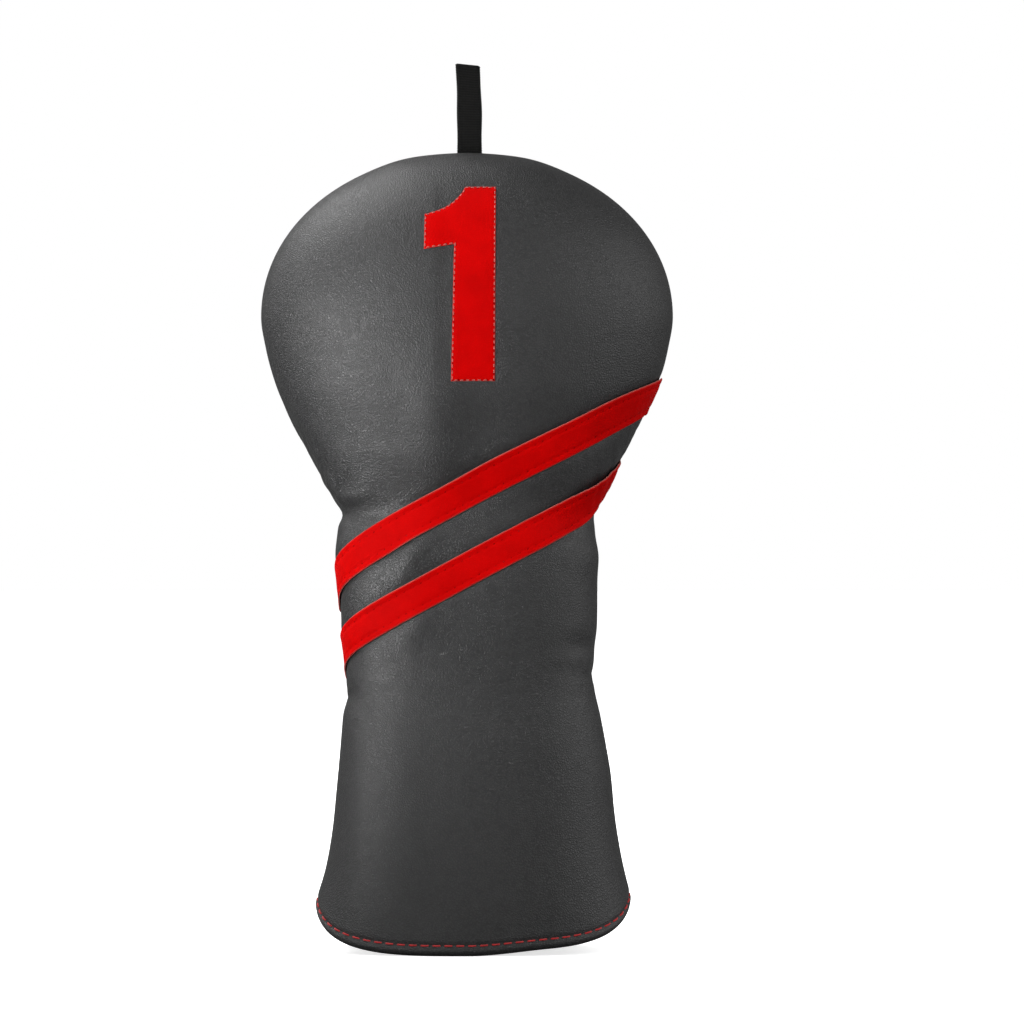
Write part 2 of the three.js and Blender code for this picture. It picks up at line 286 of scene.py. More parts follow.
def hem_curve(forward):
    """The share of the hem's rise: 1 at a side seam, 0 in a panel's middle, where forward is 1."""
    distance = np.sqrt(forward ** 2 + HEM_ROUNDING ** 2) - HEM_ROUNDING
    most = math.sqrt(1 + HEM_ROUNDING ** 2) - HEM_ROUNDING
    return np.clip(1 - distance / most, 0, 1) ** HEM_CURVE_POWER


def plain_skin(angle, row):
    """The skin's points with no folds or gathers in it."""
    height = np.minimum(row, 1) * WIDEST_Z
    elevation = np.clip(row - 1, 0, 1) * math.pi / 2
    narrowing = np.maximum(np.cos(elevation), 0) ** (2 / CROWN_FULLNESS)
    rise = CROWN_HEIGHT * np.sin(elevation) ** (2 / CROWN_FULLNESS)
    power = squareness(height)
    across, forward = np.cos(angle), np.sin(angle)
    reach = (np.abs(across) ** power + np.abs(forward) ** power) ** (-1 / power)
    across, forward = across * reach, forward * reach
    width = np.where(across > 0, right_half_width(height), left_half_width(height))
    lift = HEM_RISE * hem_curve(forward) + HEM_TILT * ramp(across, 0, 0.5)
    lift = lift * np.clip(1 - height / HEM_FADE_Z, 0, 1)
    x = width * across * narrowing
    y = MIDDLE_Y - half_depth(height) * forward * narrowing
    return np.stack([x, y, height + rise + lift], -1)


# Where the front folds, dents or swells: how far it stands out, its x and z, how wide and tall it is,
# and how much it climbs to the right.
FRONT_FOLDS = [
    # The bag of leather above the left end of the upper elastic, and the crease under it.
    (1.5, -55, 186, 5, 4, -0.5),
    (-1.6, -48, 176, 6, 3, 0.3),
    (0.7, -42, 183, 8, 5, 0.5),
    # Hollows that run in from the pinched sides of the neck, and the leather that swells between them.
    (-1.2, -40, 173, 12, 4.5, 0.5),
    (1.9, -21.5, 158, 8.5, 8, 0.8),
    (1.1, -20.5, 131, 7.5, 9, 0.3),
    (-1.1, 42, 168, 10, 5, -0.2),
    (1.2, 50, 158, 8, 7, 0),
    (-1.0, 47, 122, 8, 4.5, 0),
    (0.9, -47, 127, 8, 6, 0),
    # A soft ridge down the head, with the leather flatter on its right.
    (1.5, -12, 212, 11, 26, 0),
    (-0.9, 8, 208, 14, 26, 0),
    (0.6, 42, 225, 14, 26, 0),
]

# Long shallow waves down the skirt: how far out, x, how wide, and where each starts and is full.
SKIRT_WAVES = [(0.6, -46, 9, 150, 70), (-0.5, -14, 10, 130, 60), (0.5, 34, 11, 140, 60)]


def sculpted_folds(points):
    """How far the leather stands out, in millimetres, where it folds, dents or swells."""
    x, y, z = np.moveaxis(points, -1, 0)
    front = ramp(-y, -6, 8)
    # The crown is a little fuller on each side of the loop.
    out = 0.5 * bump(np.abs(x), 26, 11) * ramp(z, 304, 314)
    for stand, middle_x, middle_z, width, height, climb in FRONT_FOLDS:
        rise = z - climb * (x - middle_x)
        out += stand * bump(x, middle_x, width) * bump(rise, middle_z, height) * front
    for stand, middle_x, width, start_z, full_z in SKIRT_WAVES:
        out += stand * bump(x, middle_x, width) * ramp(z, start_z, full_z) * front
    return out


def gathers(points, angle):
    """Puckers that the elastic tapes draw into the back, in the channels where they are sewn in."""
    x, y, z = np.moveaxis(points, -1, 0)
    back = ramp(y, SEAM_Y + 1, SEAM_Y + 14)
    out = np.zeros(x.shape)
    for elastic in ELASTICS.values():
        middle = elastic["height"] + elastic["tilt"] * x
        phase = elastic["phase"]
        reach = np.abs(z - middle)
        along = angle * 40
        spread = 1 + reach / 50
        wave = np.sin(along / (1.75 * spread) + phase + 1.1 * np.sin(along / 9 + phase))
        wave += 0.5 * np.sin(along / 3.3 + 1.7 * phase + 0.05 * (z - middle))
        out += 0.5 * wave * np.exp(-(reach / 12) ** 1.4) * back
        out -= 0.9 * bump(z, middle, 4) * back
        out += 0.8 * bump(reach, 10, 5) * back
    return out


def stripe_line(stripe, along):
    """Height and slope of a stripe's middle line, at a distance round from the front's middle."""
    line = STRIPES[stripe]
    bend = np.where(along < 0, *line["bends"])
    past = np.maximum(along - line["past"], 0)
    bent = bend * along ** 2 + line["droop"] * past ** 2
    slope = line["slope"] - 2 * (bend * along + line["droop"] * past)
    return line["height"] + line["slope"] * along - bent, slope


def applique_beds(points, along):
    """How far the leather is pressed in where the stripes and the numeral are sewn down."""
    x, y, z = np.moveaxis(points, -1, 0)
    front = ramp(-y, -SEAM_Y - 2, 4)
    out = np.zeros(x.shape)
    for stripe in STRIPES:
        height, slope = stripe_line(stripe, along)
        beside = np.abs(z - height) / np.hypot(1, slope) - STRIPE_HALF_WIDTH
        out -= 0.75 * (1 - ramp(beside, -1.5, 3.5)) * front
    middle = (NUMERAL_LOW + NUMERAL_HIGH) / 2
    beside = np.maximum(np.abs(x - middle[0] - 3) - 10, np.abs(z - middle[2]) - 38)
    out -= 0.4 * (1 - ramp(beside, -2, 4)) * front
    return out


def normals_of_grid(points):
    """Outward normals of a grid of points that closes on itself round each row."""
    around = np.roll(points, -1, axis=1) - np.roll(points, 1, axis=1)
    up = np.gradient(points, axis=0)
    normals = unit(np.cross(up, around))
    normals[-1] = [0, 0, 1]
    return normals


class Skin:
    """The finished skin as a fine grid that gives a point for any angle, row and depth."""

    COLUMNS = 480
    ROWS = 520
    SOFTENING_PASSES = 60

    def __init__(self, displacement=lambda angle, row: 0):
        self.rows = np.linspace(0, 2, self.ROWS)
        self.angles = np.arange(self.COLUMNS) / self.COLUMNS * FULL_TURN
        angle, row = np.meshgrid(self.angles, self.rows)
        points = plain_skin(angle, row)
        normals = normals_of_grid(points)
        along = self.distances(points)[0]
        stand = sculpted_folds(points) + gathers(points, angle) + applique_beds(points, along)
        fade = ramp(points[..., 2], 0, 22)
        points = points + normals * (stand * fade)[..., None] + displacement(angle, row)
        points[-1] = points[-1].mean(0)
        self.points = points
        self.normals = normals_of_grid(points)
        self.along, self.unrolled_angle = self.distances(points)

    def distances(self, points):
        """Distance round each row from the front's middle, to the right, and the angles that match."""
        step = np.linalg.norm(np.diff(points, axis=1, append=points[:, :1]), axis=-1)
        walk = np.cumsum(step, axis=1) - step
        walk -= walk[:, self.COLUMNS // 4][:, None]
        behind = self.angles > 1.5 * math.pi
        walk[:, behind] -= step.sum(1)[:, None]
        return -walk, np.where(behind, self.angles - FULL_TURN, self.angles)

    def softened(self):
        """A copy whose folds are smoothed away and that lies deeper, for the layers under the leather."""
        soft = copy.copy(self)
        deeper = UNDER_GATHERS * ramp(self.rows * WIDEST_Z, 14, 45)
        soft.points = soft.points - soft.normals * deeper[:, None, None]
        for _ in range(self.SOFTENING_PASSES):
            around = np.roll(soft.points, 1, axis=1) + np.roll(soft.points, -1, axis=1)
            soft.points = (2 * soft.points + around) / 4
            beside = soft.points[:-2] + soft.points[2:]
            soft.points[1:-1] = (2 * soft.points[1:-1] + beside) / 4
        soft.normals = normals_of_grid(soft.points)
        return soft

    def at(self, angle, row, depth=0):
        """Points at a depth below the skin, or above it where depth is negative."""
        angle, row, depth = np.broadcast_arrays(angle, row, depth)
        points = look_up(self.points, angle, row / 2, lambda t: [1 - t, t])
        return points - self.normal(angle, row) * depth[..., None]

    def normal(self, angle, row):
        return unit(look_up(self.normals, np.asarray(angle), row / 2, lambda t: [1 - t, t]))

    def path(self, angle, row, depth=0):
        """Points and the normals at them."""
        return self.at(angle, row, depth), self.normal(angle, row)

    def wrap(self, distance, height):
        """The (angle, row) a distance round from the front's middle, at a height below the widest level."""
        row = row_of(height)
        line = np.clip(np.round(row / 2 * (self.ROWS - 1)), 0, self.ROWS - 1).astype(int)
        order = np.argsort(-self.unrolled_angle)
        angle = np.zeros(distance.shape)
        for k in np.ndindex(distance.shape):
            angle[k] = np.interp(distance[k], self.along[line[k]][order], self.unrolled_angle[order])
        return angle, row


def front_place(x, z):
    """The (angle, row) under a point of the front view, on the plain skin."""
    up = np.clip((z - WIDEST_Z) / CROWN_HEIGHT, 0, 1)
    elevation = np.arcsin(up ** (CROWN_FULLNESS / 2))
    height = np.minimum(z, WIDEST_Z)
    width = np.where(x > 0, right_half_width(height), left_half_width(height))
    across = np.clip(x / (width * np.cos(elevation) ** (2 / CROWN_FULLNESS)), -1, 1)
    power = squareness(height)
    forward = (1 - np.abs(across) ** power) ** (1 / power)
    return np.arctan2(forward, across), np.where(z < WIDEST_Z, row_of(z), 1 + elevation / (math.pi / 2))


# ---- Meshes ----

NORMAL_NAMES = ("skin_normal_x", "skin_normal_y", "skin_normal_z")

# Rows of points are added at these distances from the seam plane.
SEAM_ROWS = [SEAM_GAP / 2] + [SEAM_ROLL * share for share in (0.12, 0.25, 0.45, 0.7, 1)]


def make_object(name, points, faces):
    mesh = bpy.data.meshes.new(name)
    mesh.from_pydata((np.asarray(points) * MM).tolist(), [], faces)
    mesh.validate()
    mesh.update()
    mesh.polygons.foreach_set("use_smooth", [True] * len(mesh.polygons))
    piece = bpy.data.objects.new(name, mesh)
    bpy.context.scene.collection.objects.link(piece)
    return piece


def add_attribute(piece, name, values):
    attribute = piece.data.attributes.new(name, "FLOAT", "POINT")
    attribute.data.foreach_set("value", np.asarray(values, np.float32))


def grid_faces(rows, columns, closed=False):
    """Quads of a grid whose points are listed row by row, facing out when the angle grows along a row."""
    faces = []
    width = columns if closed else columns - 1
    for j in range(rows - 1):
        for i in range(width):
            here, beside = j * columns + i, j * columns + (i + 1) % columns
            faces.append((here, here + columns, beside + columns, beside))
    return faces


def dress(piece, look, *nodes, slot=None):
    """Puts a finished piece on the cover, with its look and the nodes it stands for. The slot is not used."""
    piece.data.materials.clear()
    piece.data.materials.append(look())
    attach(piece, "cover")
    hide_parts(*nodes)


def add_thickness(piece, thickness):
    """Thickens a sheet inwards and makes that its mesh."""
    solid = piece.modifiers.new("thickness", "SOLIDIFY")
    solid.thickness = thickness * MM
    solid.offset = -1
    bpy.context.view_layer.update()
    evaluated = piece.evaluated_get(bpy.context.evaluated_depsgraph_get())
    finished = bpy.data.meshes.new_from_object(evaluated)
    piece.modifiers.clear()
    piece.data = finished


def keep_normals(piece, normals):
    """Stores the skin's normals with the points, for rolling the edges after the cut."""
    for name, values in zip(NORMAL_NAMES, normals.T):
        add_attribute(piece, name, values)


def take_normals(mesh):
    """Reads the stored normals, which the cut has carried over to the new points, and removes them."""
    normals = np.zeros((len(NORMAL_NAMES), len(mesh.vertices)))
    for name, values in zip(NORMAL_NAMES, normals):
        attribute = mesh.attributes[name]
        attribute.data.foreach_get("value", values)
        mesh.attributes.remove(attribute)
    return unit(normals.T)


def read_points(mesh):
    points = np.zeros(len(mesh.vertices) * 3)
    mesh.vertices.foreach_get("co", points)
    return points.reshape(-1, 3) / MM


def cut_at_seam(piece, side):
    """Keeps one side of the seam plane, adds rows of points beside it, and rolls the edge inwards there."""
    mesh = piece.data
    edit = bmesh.new()
    edit.from_mesh(mesh)
    for offset in SEAM_ROWS:
        bmesh.ops.bisect_plane(
            edit,
            geom=edit.verts[:] + edit.edges[:] + edit.faces[:],
            dist=1e-7,
            plane_co=(0, (SEAM_Y + side * offset) * MM, 0),
            plane_no=(0, -side, 0),
            clear_outer=offset == SEAM_ROWS[0],
        )
    edit.to_mesh(mesh)
    edit.free()
    points = read_points(mesh)
    dip = seam_dip(np.abs(points[:, 1] - SEAM_Y))
    points = make_way_for_loop(points, side) - take_normals(mesh) * dip[:, None]
    mesh.vertices.foreach_set("co", (points * MM).ravel())
    mesh.update()


def seam_dip(from_seam):
    """How far the skin rolls inwards at a distance from the seam plane."""
    share = np.clip(from_seam / SEAM_ROLL, 0, 1)
    return SEAM_ROLL * 0.9 * (1 - np.sqrt(1 - (1 - share) ** 2))


def make_way_for_loop(points, side):
    """The two panels part at the crown to let the webbing out."""
    x, y, z = points.T
    near = ramp(OPENING_HALF_WIDTH - np.abs(x - LOOP_X), 0, 2.5)
    near = near * ramp(z, TAIL_LOW[2] - 12, TAIL_LOW[2])
    from_seam = np.abs(y - SEAM_Y)
    push = (STRAP_THICKNESS + 0.1) * near * np.clip(1 - from_seam / OPENING_REACH, 0, 1)
    return np.stack([x, y + side * push, z], -1)


# ---- Cloth simulation ----

# The simulated grid stops a little short of the crown's top, at the last row.
SIM_COLUMNS = 160
SIM_ROWS = 150
SIM_LAST_ROW = 1.96
SIM_FRAMES = 20
MOST_MOVE = 4

# How firmly the padding holds the leather in place, against 1 for a point that can't move.
PADDING_HOLD = 0.3

CLOTH = {
    "quality": 6,
    "mass": 0.4,
    "tension_stiffness": 40,
    "compression_stiffness": 12,
    "shear_stiffness": 12,
    "bending_stiffness": 2,
    "tension_damping": 25,
    "air_damping": 6,
    "shrink_min": 0,
    "shrink_max": 0.3,
    "use_pressure": True,
    "uniform_pressure_force": 0.2,
}


def elastic_pull(points):
    """1 on the back along each elastic tape, falling to nothing away from it and near the side seams."""
    x, y, z = np.moveaxis(points, -1, 0)
    pull = sum(bump(z, line["height"] + line["tilt"] * x, 3.4) for line in ELASTICS.values())
    return np.clip(pull, 0, 1) * ramp(y, SEAM_Y, SEAM_Y + 10)


def add_weights(piece, name, weights):
    group = piece.vertex_groups.new(name=name)
    for k in np.flatnonzero(weights > 0.01):
        group.add([int(k)], float(weights[k]), "REPLACE")
    return name


def uneven(points, angle, row):
    """Small waves in the back of the neck, which tell the gathers where to form."""
    waves = 0.4 * np.sin(angle * 19 + 2.1 * np.sin(row * 17)) + 0.25 * np.sin(angle * 29 + row * 33)
    neck = bump(points[..., 2], 140, 55) * ramp(points[..., 1], SEAM_Y, SEAM_Y + 10)
    return points + normals_of_grid(points) * (waves * neck)[..., None]


def settle(angle, row):
    """How far a padded cover moves on a coarse grid when it fills out and its elastics shrink."""
    points = plain_skin(angle, row)
    pull = elastic_pull(points)
    points = uneven(points, angle, row)
    faces = grid_faces(SIM_ROWS, SIM_COLUMNS, closed=True)
    piece = make_object("settling", points.reshape(-1, 3), faces)
    fixed = np.maximum(1 - ramp(row, 0.02, 0.05), ramp(row, 1.8, 1.9))
    held = np.maximum(fixed, PADDING_HOLD * (1 - pull))
    cloth = piece.modifiers.new("cloth", "CLOTH")
    for name, value in CLOTH.items():
        setattr(cloth.settings, name, value)
    cloth.settings.vertex_group_mass = add_weights(piece, "held", held.ravel())
    cloth.settings.vertex_group_shrink = add_weights(piece, "elastic", pull.ravel())
    cloth.settings.effector_weights.gravity = 0
    cloth.collision_settings.use_collision = False
    cloth.point_cache.frame_end = SIM_FRAMES
    for step in range(1, SIM_FRAMES + 1):
        bpy.context.scene.frame_set(step)
    settled = piece.evaluated_get(bpy.context.evaluated_depsgraph_get())
    moved = read_points(settled.data).reshape(points.shape) - points
    bpy.data.objects.remove(piece)
    bpy.context.scene.frame_set(1)
    # The stuffed head, the flared skirt and most of the front keep their shape.
    height = points[..., 2]
    near = ramp(height, 45, 90) * ramp(-height, -232, -188)
    near = near * (0.3 + 0.7 * ramp(points[..., 1], -28, SEAM_Y))
    length = np.linalg.norm(moved, axis=-1)
    return moved * (near * np.minimum(1, MOST_MOVE / np.maximum(length, 1e-9)))[..., None]


def settled_displacement():
    """Runs the simulation, and gives its displacement as a smooth function of angle and row."""
    rows = np.linspace(0, SIM_LAST_ROW, SIM_ROWS)
    angles = np.arange(SIM_COLUMNS) / SIM_COLUMNS * FULL_TURN
    moved = settle(*np.meshgrid(angles, rows))
    return lambda angle, row: look_up(moved, angle, row / SIM_LAST_ROW, cubic_weights)


# ---- Layers of the cover ----

# About how far it is over the leather from the widest level to the crown's top.
CROWN_RUN = 105


def upward_rows(from_height, spacing):
    """Rows of points from a height to just below the crown's top."""
    body = np.arange(from_height, WIDEST_Z, spacing) / WIDEST_Z
    crown = np.linspace(1, 2, int(CROWN_RUN / spacing))[:-1]
    return list(body) + list(crown)


def hem_stitch_dent(height):
    return 0.4 * bump(height, HEM_STITCH_HEIGHT, 1.1)


def leather_path():
    """Up the inside of the turned hem, round its edge and up the outside to the crown."""
    path = [(row_of(h), 2 * HEM_ROLL) for h in np.linspace(HEM_TURN, HEM_ROLL, 8)]
    for turn in np.linspace(0, math.pi, 13)[1:-1]:
        path.append((row_of(HEM_ROLL * (1 - math.sin(turn))), HEM_ROLL * (1 + math.cos(turn))))
    path += [(row_of(h), hem_stitch_dent(h)) for h in np.arange(HEM_ROLL, 9, 0.5)]
    path += [(row, 0) for row in upward_rows(9, 1.3)]
    return path


def half_of_shell(name, skin, path, side, columns):
    """One panel's half of a shell. Path lists (row, depth) from the inside of the hem up to the crown."""
    angles = np.arange(columns) / columns * FULL_TURN
    rows, depths = np.array(path, float).T
    angle, row = np.meshgrid(angles, rows)
    points = skin.at(angle, row, depths[:, None])
    normals = skin.normal(angle, row)
    top = skin.at(0, 2, depths[-1])
    faces = grid_faces(len(rows), columns, closed=True)
    pole = len(rows) * columns
    last = pole - columns
    faces += [(last + i, pole, last + (i + 1) % columns) for i in range(columns)]
    piece = make_object(name, np.vstack([points.reshape(-1, 3), top]), faces)
    keep_normals(piece, np.vstack([normals.reshape(-1, 3), [0, 0, 1]]))
    cut_at_seam(piece, side)
    return piece


def make_leather(skin):
    for node, side in (("front_panel", -1), ("back_panel", 1)):
        piece = half_of_shell(node + "_leather", skin, leather_path(), side, 360)
        add_thickness(piece, LEATHER)
        dress(piece, grey_leather, node)


def make_layers(skin):
    """Padding and lining: coarser shells that follow the leather."""
    layers = [
        ("padding", PADDING_OUT, PADDING_IN, 2 * HEM_ROLL, 4, grey_foam),
        ("lining", LINING_OUT, LINING_IN, HEM_TURN + 1, 2, black_plush),
    ]
    for layer, outer, inner, from_height, spacing, look in layers:
        path = [(row, outer) for row in upward_rows(from_height, spacing)]
        for half, side in (("front", -1), ("back", 1)):
            node = f"{half}_{layer}"
            piece = half_of_shell(node + "_sheet", skin, path, side, 180)
            add_thickness(piece, inner - outer)
            dress(piece, look, node)


def back_angles(count):
    """Angles round the back, from just inside one side seam to just inside the other."""
    return np.linspace(math.pi + ELASTIC_END_ANGLE, FULL_TURN - ELASTIC_END_ANGLE, count)


def elastic_row(elastic, angle, above):
    """Rows that follow an elastic tape, at a distance above its middle."""
    line = ELASTICS[elastic]
    return row_of(line["height"] + above + line["tilt"] * NECK_HALF_WIDTH * np.cos(angle))


def make_elastics(skin, under):
    columns, rows = 160, 12
    wide = np.linspace(-ELASTIC_HALF_WIDTH, ELASTIC_HALF_WIDTH, rows)
    for node in ELASTICS:
        angle, above = np.meshgrid(back_angles(columns), wide)
        points = under.at(angle, elastic_row(node, angle, above), ELASTIC_OUT)
        tape = make_object(node + "_tape", points.reshape(-1, 3), grid_faces(rows, columns))
        add_thickness(tape, ELASTIC_IN - ELASTIC_OUT)
        dress(tape, white_elastic, node)
        for line, side in enumerate((-1, 1)):
            angle = back_angles(600)
            row = elastic_row(node, angle, side * ELASTIC_STITCH_OFFSET)
            name, paths = f"{node}_stitches_{line + 1}", [skin.path(angle, row)]
            sew(name, node + "_thread", dark_thread, paths, ELASTIC_PITCH, ELASTIC_THREAD)


# ---- Stitches ----

STITCH_SIDES = 8
STITCH_RINGS = 9

# How far a stitch's ends go down into the leather.
STITCH_SUNK = 0.45


def stitch_faces(count):
    """Quads round each stitch, and a face over each of its two ends."""
    faces = []
    for first in range(0, count * STITCH_RINGS * STITCH_SIDES, STITCH_RINGS * STITCH_SIDES):
        end = first + (STITCH_RINGS - 1) * STITCH_SIDES
        for ring in range(first, end, STITCH_SIDES):
            for i in range(STITCH_SIDES):
                here, beside = ring + i, ring + (i + 1) % STITCH_SIDES
                faces.append((here, beside, beside + STITCH_SIDES, here + STITCH_SIDES))
        faces.append(tuple(range(first + STITCH_SIDES - 1, first - 1, -1)))
        faces.append(tuple(range(end, end + STITCH_SIDES)))
    return faces


def sew(name, node, look, paths, pitch, radius, length_share=0.74, slot=None):
    """Rows of separate stitches. Each path is (points, outward normals), sampled finely along the row."""
    points = []
    for path, normals in paths:
        walk = walk_along(path)
        count = max(1, int(round(walk[-1] / pitch)))
        step = walk[-1] / count
        t = np.linspace(0, 1, STITCH_RINGS)
        at = (np.arange(count)[:, None] + 0.5 + (t - 0.5) * length_share) * step
        centre = points_along(path, walk, at)
        normal = unit(points_along(normals, walk, at))
        tangent = unit(np.gradient(centre, axis=1))
        across = unit(np.cross(tangent, normal))
        arch = np.sin(t * math.pi) ** 0.55
        lift = arch * (radius * 0.75 + STITCH_SUNK) - STITCH_SUNK
        centre = centre + normal * lift[None, :, None]
        turn = np.arange(STITCH_SIDES) / STITCH_SIDES * FULL_TURN
        # Two plies twisted together.
        plies = 1 + 0.13 * np.cos(2 * turn[None, :] - 7 * t[:, None])
        thick = radius * (0.8 + 0.2 * arch[:, None]) * plies
        ring = (
            centre[:, :, None]
            + normal[:, :, None] * (thick * np.sin(turn))[None, ..., None]
            + across[:, :, None] * (thick * np.cos(turn))[None, ..., None]
        )
        points.append(ring.reshape(-1, 3))
    points = np.vstack(points)
    faces = stitch_faces(len(points) // (STITCH_RINGS * STITCH_SIDES))
    dress(make_object(name, points, faces), look, node, slot=slot)


def make_hem_stitches(skin):
    paths = []
    for start, end in ((0.04, math.pi - 0.04), (math.pi + 0.1, FULL_TURN - 0.1)):
        angle = np.linspace(start, end, 900)
        paths.append(skin.path(angle, np.full(900, row_of(HEM_STITCH_HEIGHT)), 0.4))
    sew("hem_stitches", "hem_thread", red_thread, paths, HEM_PITCH, HEM_THREAD, 0.78)


def seam_angle(row, side):
    """Angle of the seam plane on a row, on the right (1) or the left (-1)."""
    height = np.minimum(row, 1) * WIDEST_Z
    narrowing = np.cos(np.clip(row - 1, 0, 1) * math.pi / 2) ** (2 / CROWN_FULLNESS)
    back = np.clip((SEAM_Y - MIDDLE_Y) / (half_depth(height) * narrowing), 0, 1)
    power = squareness(height)
    behind = np.arctan2(back, (1 - back ** power) ** (1 / power))
    return -behind if side > 0 else math.pi + behind


def make_seam_stitches(skin):
    for node, side in (("left_seam_thread", -1), ("right_seam_thread", 1)):
        row = np.linspace(row_of(8), 1.94, 1200)
        angle = seam_angle(row, side)
        path, normals = skin.path(angle, row, SEAM_ROLL * 0.86)
        beside_loop = np.abs(path[:, 0] - LOOP_X) > 6.2
        path, normals = path[beside_loop], normals[beside_loop]
        path[:, 1] = SEAM_Y
        sew(node + "_stitches", node, dark_thread, [(path, normals)], SEAM_PITCH, SEAM_THREAD)


# ---- Appliques ----

def rounded_edge(inset):
    """Height of an applique's face at a distance in from its cut edge."""
    share = np.clip(inset / 0.4, 0, 1)
    return APPLIQUE * (0.6 + 0.4 * np.sqrt(1 - (1 - share) ** 2))


def needle_holes(along, off_row, pitch, sharpness=9):
    """1 at each needle hole of a row of stitches, and 0 between the holes and away from the row."""
    near = (np.cos(along / pitch * FULL_TURN) * 0.5 + 0.5) ** sharpness
    return near * bump(off_row, 0, HOLE_WIDTH)


def cut_edge(inset):
    """1 on an applique's bare cut edge, and 0 on its face."""
    return 1 - ramp(inset, 0.02, 0.16)


def stitch_dimples(along, off_row, pitch):
    """The leather is pulled down along a row of stitches, and deepest at each needle hole."""
    return STITCH_SEAT * bump(off_row, 0, 0.8) + 0.3 * needle_holes(along, off_row, pitch, 6)


def stripe_place(skin, stripe, along, across):
    """(angle, row) of a point on a stripe, given distances along and across it."""
    height, slope = stripe_line(stripe, along)
    tilt = np.arctan(slope)
    return skin.wrap(along - across * np.sin(tilt), height + across * np.cos(tilt))


def lifted_corner(stripe, along, across):
    """The lower stripe's top edge has come a little away from the leather near its right end."""
    if stripe != "lower_stripe":
        return 0 * along
    return 1.1 * bump(along, 57, 9) * ramp(across, 0, STRIPE_HALF_WIDTH)


def stripe_leather(skin, node):
    """The stripe's leather from seam to seam. Returns how far along its ends are."""
    edge = np.array([0, 0.12, 0.3, 0.55])
    face = np.arange(1.05, 2 * STRIPE_HALF_WIDTH - 1, 0.53)
    across = np.concatenate([edge, face, 2 * STRIPE_HALF_WIDTH - edge[::-1]]) - STRIPE_HALF_WIDTH
    along, across = np.meshgrid(np.arange(-STRIPE_REACH, STRIPE_REACH, 0.6), across)
    angle, row = stripe_place(skin, node, along, across)
    on_front = ((angle > -0.3) & (angle < math.pi + 0.3)).all(0)
    along, across, angle, row = (grid[:, on_front] for grid in (along, across, angle, row))
    inset = STRIPE_HALF_WIDTH - np.abs(across)
    off_row = inset - STRIPE_STITCH_INSET
    stand = rounded_edge(inset) - stitch_dimples(along, off_row, STRIPE_PITCH)
    stand = stand + lifted_corner(node, along, across)
    points = skin.at(angle, row, -stand).reshape(-1, 3)
    piece = make_object(node + "_leather", points, grid_faces(*along.shape))
    add_attribute(piece, "cut_edge", cut_edge(inset).ravel())
    add_attribute(piece, "needle_hole", needle_holes(along, off_row, STRIPE_PITCH).ravel())
    keep_normals(piece, skin.normal(angle, row).reshape(-1, 3))
    cut_at_seam(piece, -1)
    add_thickness(piece, APPLIQUE_THICKNESS)
    dress(piece, red_leather, node)
    return along.min(), along.max()


def stripe_stitches(skin, node, ends, edge, side):
    """The row of stitches along a stripe's top (side 1) or bottom (side -1) edge."""
    along = np.arange(*ends, 0.2)
    across = np.full(len(along), side * (STRIPE_HALF_WIDTH - STRIPE_STITCH_INSET))
    angle, row = stripe_place(skin, node, along, across)
    lift = APPLIQUE - STITCH_SEAT + lifted_corner(node, along, across)
    path, normals = skin.path(angle, row, -lift)
    clear = path[:, 1] < SEAM_Y - SEAM_ROLL - 0.8
    # Whole stitches only, so that the holes in the leather stay under their ends.
    first = np.ceil(along[clear][0] / STRIPE_PITCH) * STRIPE_PITCH
    last = np.floor(along[clear][-1] / STRIPE_PITCH) * STRIPE_PITCH
    clear = (along >= first) & (along <= last)
    name, paths = f"{node}_{edge}", [(path[clear], normals[clear])]
    sew(name + "_stitches", name + "_thread", red_thread, paths, STRIPE_PITCH, STRIPE_THREAD)


def make_stripe(skin, node):
    ends = stripe_leather(skin, node)
    for edge, side in (("top", 1), ("bottom", -1)):
        stripe_stitches(skin, node, ends, edge, side)


def numeral_outline():
    """The block numeral 1 in front view, from its bottom right corner round to its bottom left."""
    left, right = NUMERAL_LOW[0], NUMERAL_HIGH[0]
    bottom, top = NUMERAL_LOW[2], NUMERAL_HIGH[2]
    start = np.array([left + 16.1, top])
    bow = np.array([left + 12, top - 8.6])
    end = np.array([left + 0.2, top - 11.3])
    t = np.linspace(0, 1, 9)[:, None]
    flag = start * (1 - t) ** 2 + bow * 2 * t * (1 - t) + end * t * t
    corners = [[right - 0.3, bottom], [right, top], *flag]
    corners += [[left, top - 25.3], [left + 11.8, top - 23.2], [left + 10.6, bottom]]
    return np.array(corners)


def inset_outline(outline, inset):
    """The same closed outline, drawn inside itself."""
    forward = unit(np.roll(outline, -1, axis=0) - outline)
    inward = np.stack([-forward[:, 1], forward[:, 0]], -1)
    both = inward + np.roll(inward, 1, axis=0)
    return outline + both * inset * 2 / np.sum(both * both, axis=1, keepdims=True)


def place_on_outline(outline, points):
    """Each point's distance from a closed outline, and how far along the outline that is."""
    edge = np.roll(outline, -1, axis=0) - outline
    length = np.linalg.norm(edge, axis=1)
    offset = points[:, None] - outline[None]
    share = np.clip(np.sum(offset * edge, axis=2) / length ** 2, 0, 1)
    gap = np.linalg.norm(offset - share[..., None] * edge, axis=2)
    nearest = gap.argmin(1)
    every = np.arange(len(points))
    starts = np.cumsum(length) - length
    return gap[every, nearest], starts[nearest] + share[every, nearest] * length[nearest]


